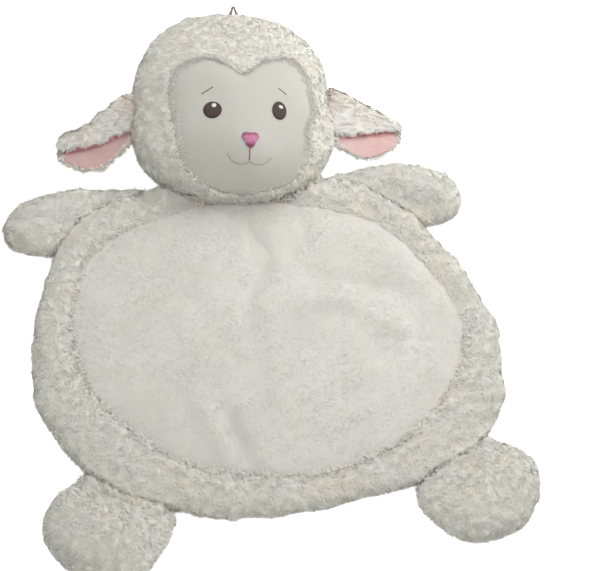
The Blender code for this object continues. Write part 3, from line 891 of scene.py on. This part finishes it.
def limbKeep(co, normal):
    open_ = (co[:, 2] > 0.002) & (normal[:, 2] > -0.8)
    for tree in (bodyTree, headTree):
        open_[open_] = distances(tree, co[open_], 0.01) > hairReach
    return open_


def limbShape(co, normal):
    return seamFill(co, normal, [bodyTree], limbSeam)


for k, limb in enumerate(limbNodes):
    first, side = limb.split("_")
    limbSkinSet = dict(limbSet, seed=limbSet["seed"] + k)
    skin, curls = stuffedSkin(limb, first + "Skin_" + side, limbSkinSet, limbHeld, limbShape, [], [bodyTree])
    pile(first + "Pile_" + side, skin,
         dict(strandLook, tries=limbPileSet["tries"], seed=limbPileSet["seed"] + k, curls=curls,
              strands=limbPileSet[first + "Strands"], over=[(bodyTree, 12), (headTree, 10)]), limbKeep)

panelSet = {"voxel": 3.8, "soften": 22, "flat": (0.56, 0.46), "area": 0.19, "rim": 1.006, "folds": 2.0,
            "waves": ((0.5, 0.055, 71), (0.35, 0.024, 72)), "headRise": 8, "headReach": 0.035}
# height and half width in mm, then the line of each fold in mm
panelFolds = [
    (-2.4, 13, [(-15, 206), (-6, 165), (1, 133)]), (-2.2, 13, [(67, 193), (62, 152), (39, 138)]),
    (-1.9, 14, [(12, 140), (-24, 65), (-24, 4)]), (-1.6, 13, [(68, 96), (120, 78), (174, 65)]),
    (1.5, 13, [(194, 103), (212, 74), (227, 45)]),
    (1.8, 13, [(48, 41), (63, 55), (104, 52), (141, 29), (179, 3)]),
    (-0.9, 7, [(136, -9), (230, -19)]), (1.3, 14, [(-95, -101), (-74, -152), (-52, -189)]),
    (1.1, 13, [(-49, -97), (-40, -134), (-25, -177)]), (-1.5, 12, [(-69, -103), (-50, -189)]),
    (1.3, 13, [(65, -136), (93, -121), (121, -114)]), (1.2, 23, [(-150, 90), (-110, 40), (-90, -20)]),
    (-1.0, 20, [(-190, 20), (-150, -40), (-120, -90)]), (1.1, 20, [(120, -60), (170, -80), (210, -70)]),
]


panel = nodeCopy("centre_panel", "centrePanel")
remesh(panel, panelSet["voxel"])
smooth(panel, panelSet["soften"])
stretchToRim(panel, panelCentre, panelShare, panelSet["rim"])
co, normal = pointsOf(panel), normalsOf(panel)
inner = ramp(-panelShare(co), -1.0, -0.9) * (normal[:, 2] > 0.2)
folded = panelSet["folds"] * lineRise(co, panelFolds)
for height, patch, seed in panelSet["waves"]:
    folded += height * mm * wave3(co, patch, seed)
co[:, 2] += inner * folded
near = 1 - distances(headTree, co, panelSet["headReach"]) / panelSet["headReach"]
co[:, 2] += panelSet["headRise"] * mm * near ** 1.5 * (normal[:, 2] > -0.5)
setPoints(panel, co)
smooth(panel, 2)
finish(panel, panelCloth, "centre_panel")
print("centre panel", len(panel.data.polygons))

panelPile = pileMaterial("panelPile", (0.79, 0.77, 0.735), (0.70, 0.68, 0.605), (0.735, 0.715, 0.66))


def panelTint(co):
    # broad cool and warm patches, where the nap lies this way or that
    return 0.5 + 0.34 * wave3(co, 0.13, 15) + 0.16 * wave3(co, 0.05, 16)


panelPileSet = {"tries": 110000, "strands": 28000, "length": 5.2, "width": 1.0, "lift": 0.045, "seed": 61,
                "tint": panelTint, "brush": (0.8, -0.5, 0.0), "stroke": 0.09, "over": [],
                "rim": (panelShare, panelCentre, 0.95), "overLean": 1.3, "overLong": 0.4, "overLift": 0.8}
napStrands("panelPile", panel, panelPileSet, lambda co, normal: normal[:, 2] > 0.15,
           panelPile)

faceSet = {"voxel": 2.5, "soften": 14, "flat": (0.235, 0.235), "area": 0.037, "rim": 1.012, "muzzle": 3.6,
           "muzzleAt": (0.000, 0.256), "muzzleWide": 0.030, "muzzleTall": 1.15, "socket": 1.4,
           "socketWide": 0.024, "eyesAt": ((-0.046, 0.317), (0.046, 0.312))}


def faceRise(co):
    # the muzzle stands out a little and the eyes lie in shallow hollows
    away = np.linalg.norm((co[:, :2] - faceSet["muzzleAt"]) * (1, faceSet["muzzleTall"]), axis=1)
    rise = faceSet["muzzle"] * np.exp(-(away / faceSet["muzzleWide"]) ** 2)
    for place in faceSet["eyesAt"]:
        away = np.linalg.norm(co[:, :2] - place, axis=1)
        rise -= faceSet["socket"] * np.exp(-(away / faceSet["socketWide"]) ** 2)
    return rise * mm


facePanel = nodeCopy("face_panel", "facePanel")
remesh(facePanel, faceSet["voxel"])
smooth(facePanel, faceSet["soften"])
stretchToRim(facePanel, faceCentre, faceShare, faceSet["rim"])
co, normal = pointsOf(facePanel), normalsOf(facePanel)
outside = (normal[:, 2] > 0.1)[:, None]
rise = faceRise(co) * ramp(-faceShare(co), -0.98, -0.8)
co = co + normal * rise[:, None] * outside
setPoints(facePanel, co)
smooth(facePanel, 2)
finish(facePanel, velourCloth, "face_panel")
faceSkin = treeOf(facePanel)
print("face panel", len(facePanel.data.polygons))

fringeRandom = np.random.default_rng(91)


def fringeKeep(co, normal):
    chance = ramp(faceShare(co), 0.88, 0.985) ** 1.5 * ramp(co[:, 1], 0.245, 0.285)
    return (normal[:, 2] > 0.05) & (fringeRandom.random(len(co)) < chance)


fringePile = pileMaterial("fringePile", (0.78, 0.765, 0.715), (0.68, 0.665, 0.60), (0.64, 0.625, 0.56))
fringeSet = {"tries": 60000, "strands": 7000, "length": 6.5, "width": 0.6, "lift": 0.08, "seed": 92,
             "brush": (0.0, -0.2, 0.0), "stroke": 0.03, "over": [], "rim": (faceShare, faceCentre, 0.84),
             "overLean": -1.0, "overLong": 0.3, "overLift": 0.6}
napStrands("faceFringe", facePanel, fringeSet, fringeKeep, fringePile)

patchSet = {"voxel": 0.5, "soften": 8}


def stitchedPatch(node, name, material, rim, reshape=None):
    # a raised patch of satin stitch, darker where its threads turn down at the rim
    obj = nodeCopy(node, name)
    remesh(obj, patchSet["voxel"])
    smooth(obj, patchSet["soften"])
    co = pointsOf(obj)
    middle = (co.min(0) + co.max(0)) / 2
    if reshape:
        co = reshape(co)
    co[:, 2] += faceRise(co)
    setPoints(obj, co)
    setTone(obj, rim(co, middle))
    finish(obj, material, node)
    return obj


def eyeRim(co, middle):
    half = (co.max(0) - co.min(0)) / 2
    away = np.linalg.norm((co - middle)[:, :2] / half[:2], axis=1)
    return ramp(away, 0.72, 0.98) + 0.25 * wave3(co, 0.004, 83)


def glint(eye, place, size):
    # a small spot of white stitches on the eye
    hit, normal = dropOnto(treeOf(eye), place)
    bpy.ops.mesh.primitive_uv_sphere_add(segments=20, ring_count=10, radius=1.0, location=hit)
    spot = bpy.context.active_object
    spot.scale = (size[0], size[1], 0.7 * mm)
    spot.rotation_euler = normal.to_track_quat("Z", "Y").to_euler()
    bpy.ops.object.transform_apply(location=True, rotation=True, scale=True)
    bpy.ops.object.shade_smooth()
    spot.data.materials.append(thread["white"])
    setTone(spot, np.zeros(len(spot.data.vertices)))
    onlySelect(eye)
    spot.select_set(True)
    bpy.ops.object.join()


eyeLeft = stitchedPatch("eye_left", "eyeLeft", thread["brown"], eyeRim)
glint(eyeLeft, (-0.0437, 0.3235), (3.3 * mm, 3.3 * mm))
eyeRight = stitchedPatch("eye_right", "eyeRight", thread["brown"], eyeRim)
glint(eyeRight, (0.0486, 0.3177), (2.6 * mm, 3.5 * mm))


noseSet = {"top": 0.2783, "longer": 0.17, "deeper": 0.3}


def noseReshape(co):
    drop = (noseSet["top"] - co[:, 1]) * noseSet["longer"]
    co[:, 1] -= drop
    co[:, 2] -= drop * noseSet["deeper"]
    return co


def noseRim(co, middle):
    top, tip = co[:, 1].max(), co[:, 1].min()
    sides = ramp(np.abs(co[:, 0] - middle[0]), 0.009, 0.013)
    ends = 0.9 * ramp(co[:, 1], top - 0.009, top - 0.003) + ramp(-co[:, 1], -tip - 0.009, -tip - 0.002)
    return ends + 0.45 * sides + 0.2 * wave3(co, 0.004, 84)


stitchedPatch("nose", "nosePatch", thread["rose"], noseRim, noseReshape)
print("eyes and nose")


def smoothLine(points, step):
    # a smooth curve through the points, cut into equal steps
    p = np.array(points, float)
    p = np.vstack([2 * p[0] - p[1], p, 2 * p[-1] - p[-2]])
    out = []
    for k in range(1, len(p) - 2):
        for t in np.linspace(0, 1, 12, endpoint=False):
            a, b, c, d = p[k - 1:k + 3]
            out.append(0.5 * (2 * b + (c - a) * t + (2 * a - 5 * b + 4 * c - d) * t ** 2
                              + (3 * b - a - 3 * c + d) * t ** 3))
    out = np.array(out + [p[-2]])
    length = np.concatenate([[0], np.cumsum(np.linalg.norm(np.diff(out, axis=0), axis=1))])
    count = max(2, round(length[-1] / step) + 1)
    at = np.linspace(0, length[-1], count)
    return np.stack([np.interp(at, length, out[:, k]) for k in range(out.shape[1])], 1)


def backStitches(node, name, points, s, material):
    # a sewn line: short plump stitches laid end to end on the face
    bpy.ops.mesh.primitive_uv_sphere_add(segments=10, ring_count=8, radius=0.5)
    grain = bpy.context.active_object
    shape, grainFaces = pointsOf(grain), [tuple(p.vertices) for p in grain.data.polygons]
    bpy.data.objects.remove(grain)
    line = smoothLine(points, s["pitch"])
    co, faces = [], []
    for k in range(len(line) - 1):
        ends = [dropOnto(faceSkin, q * mm) for q in line[k:k + 2]]
        ahead = ends[1][0] - ends[0][0]
        up = (ends[0][1] + ends[1][1]).normalized()
        side = up.cross(ahead).normalized()
        turn = np.array([ahead * 1.12, side * s["wide"] * mm, up * s["high"] * mm])
        middle = (ends[0][0] + ends[1][0]) / 2 + up * s["high"] * 0.15 * mm
        faces += [tuple(i + len(co) * len(shape) for i in face) for face in grainFaces]
        co.append(shape @ turn + np.array(middle))
    mesh = bpy.data.meshes.new(name)
    mesh.from_pydata(np.concatenate(co).tolist(), [], faces)
    finish(newObject(name, mesh), material, node)


sewnLines = [
    ("brow_left", "browLeft", [(-58.8, 344.2), (-50.0, 348.8), (-41.9, 353.5)], "taupe", "thread_taupe",
     {"pitch": 6.0, "wide": 1.8, "high": 1.0}),
    ("brow_right", "browRight", [(48.6, 349.2), (54.0, 344.4), (58.9, 339.0)], "taupe", "thread_taupe",
     {"pitch": 5.0, "wide": 1.5, "high": 1.0}),
    ("mouth_line", "mouthLine", [(-0.9, 256.5), (-1.7, 251.1), (-2.3, 246.2), (-2.8, 241.0)], "maroon",
     "thread_rose", {"pitch": 3.0, "wide": 2.3, "high": 1.3}),
    ("smile_line", "smileLine",
     [(-32.0, 253.6), (-30.4, 249.2), (-26.9, 244.3), (-21.7, 240.8), (-14.0, 238.4), (-7.6, 238.2),
      (-2.9, 239.6), (2.0, 237.5), (8.9, 236.3), (16.5, 237.4), (22.9, 240.7), (28.9, 245.8)], "mauve",
     "thread_rose", {"pitch": 3.2, "wide": 1.2, "high": 0.9}),
]
for node, name, points, colour, slot, s in sewnLines:
    backStitches(node, name, points, s, thread[colour])
print("sewn lines")

earSet = {"voxel": 1.6, "soften": 4, "flat": (0.150, 0.115), "area": 0.0125, "root": 6.0,
          "rootReach": 0.012, "billow": 1.1, "tuft": 0.8}
liningSet = {"voxel": 1.2, "soften": 6, "flat": (0.140, 0.100), "area": 0.0104, "ripple": 0.25, "deepShade": 0.9}
earPileSet = {"tries": 36000, "strands": 10000, "length": 5.2, "width": 1.0, "lift": 0.30, "edge": 1.2,
              "seed": 81, "stroke": 0.02, "overLean": 0.9, "overLong": 0.1, "overLift": 1.5}
earSides = {
    "left": {"out": -1, "root": 0.140, "end": 0.186,
             "flap": [(-258, 320), (-238, 318), (-204, 321), (-164, 332), (-128, 342)],
             "creases": [(-0.8, 3.0, [(-225, 312), (-190, 306), (-165, 309)])]},
    "right": {"out": 1, "root": 0.124, "end": 0.172,
              "flap": [(112, 314), (148, 306), (184, 315), (213, 321), (228, 321)],
              "creases": [(-1.3, 3.0, [(178, 314), (196, 310), (214, 304)]),
                          (-0.6, 4.0, [(150, 292), (185, 290)])]},
}


def intoHair(obj):
    # the root of an ear goes on into the hair, so that no gap shows beside the head
    co = pointsOf(obj)
    reach = earSet["rootReach"]
    for i, p in enumerate(co):
        found = headTree.find_nearest(p, reach)
        if found[0] is not None:
            pull = earSet["root"] * mm * (1 - found[3] / reach)
            co[i] += np.array((found[0] - Vector(p)).normalized()) * pull
    setPoints(obj, co)


def nearRoot(co, s):
    # 1 at the head, 0 further out along the ear
    return 1 - ramp(s["out"] * co[:, 0], s["root"], s["end"])


for side, s in earSides.items():
    outer = nodeCopy("ear_" + side, "ear_" + side + "_cloth")
    remesh(outer, earSet["voxel"])
    smooth(outer, earSet["soften"])
    liningTree = treeOf(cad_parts["ear_" + side + "_lining"])
    co, normal = pointsOf(outer), normalsOf(outer)
    covered = hits(liningTree, co, normal, 0.006)
    billow = earSet["billow"] * wave3(co, 0.028, 75) + earSet["tuft"] * wave3(co, 0.009, 79)
    setPoints(outer, co + normal * (billow * mm * ~covered)[:, None])
    intoHair(outer)
    co = pointsOf(outer)
    setTone(outer, nearRoot(co, s) * (0.75 + 0.25 * wave3(co, 0.03, 76)))
    finish(outer, earCloth, "ear_" + side)

    lining = nodeCopy("ear_" + side + "_lining", "ear_" + side + "_liningCloth")
    remesh(lining, liningSet["voxel"])
    smooth(lining, liningSet["soften"])
    co, normal = pointsOf(lining), normalsOf(lining)
    crease = lineRise(co, s["creases"]) + liningSet["ripple"] * mm * wave3(co, 0.014, 77)
    co[:, 2] += crease * (normal[:, 2] > 0.2)
    setPoints(lining, co)
    intoHair(lining)
    co = pointsOf(lining)
    # the lining's tone deepens its pink towards the crease under the fold: painted shade in the crease
    flap = np.array(s["flap"]) * mm
    below = np.interp(co[:, 0], flap[:, 0], flap[:, 1]) - co[:, 1]
    setTone(lining, ramp(-below, -0.010, 0.001) * liningSet["deepShade"])
    finish(lining, liningCloth, "ear_" + side + "_lining")

    def earKeep(co, normal, tree=liningTree):
        return ~hits(tree, co, normal, 0.006) & (normal[:, 2] > -0.35)

    def earTint(co, s=s):
        upper = ramp(co[:, 1], 0.325, 0.345)
        return 0.88 - 0.75 * nearRoot(co, s) * upper + 0.1 * wave3(co, 0.02, 78)

    pileSet = dict(earPileSet, brush=(s["out"] * 0.9, -0.35, 0.0), tint=earTint, over=[(liningTree, 3.5)])
    napStrands("earPile_" + side, outer, pileSet, earKeep, earPile)
print("ears")

loopSet = {"voxel": 0.45, "height": 0.80, "spread": 0.55, "sink": 2.2, "thicker": 0.45}
loop = nodeCopy("crown_loop", "crownLoop")
remesh(loop, loopSet["voxel"])
smooth(loop, 3)
co = pointsOf(loop) + normalsOf(loop) * loopSet["thicker"] * mm
seat = co[distances(headTree, co, 0.05) < 0.003].mean(0)
top = co[np.argmax(np.linalg.norm(co - seat, axis=1))]
axis = (top - seat) / np.linalg.norm(top - seat)
along = (co - seat) @ axis
co -= axis * (along * (1 - loopSet["height"]) + loopSet["sink"] * mm)[:, None]
co[:, 0] += (co[:, 0] - seat[0]) * (loopSet["spread"] * ramp(-along, -0.009, 0.0))
setPoints(loop, co)
finish(loop, thread["cord"], "crown_loop")
print("crown loop")
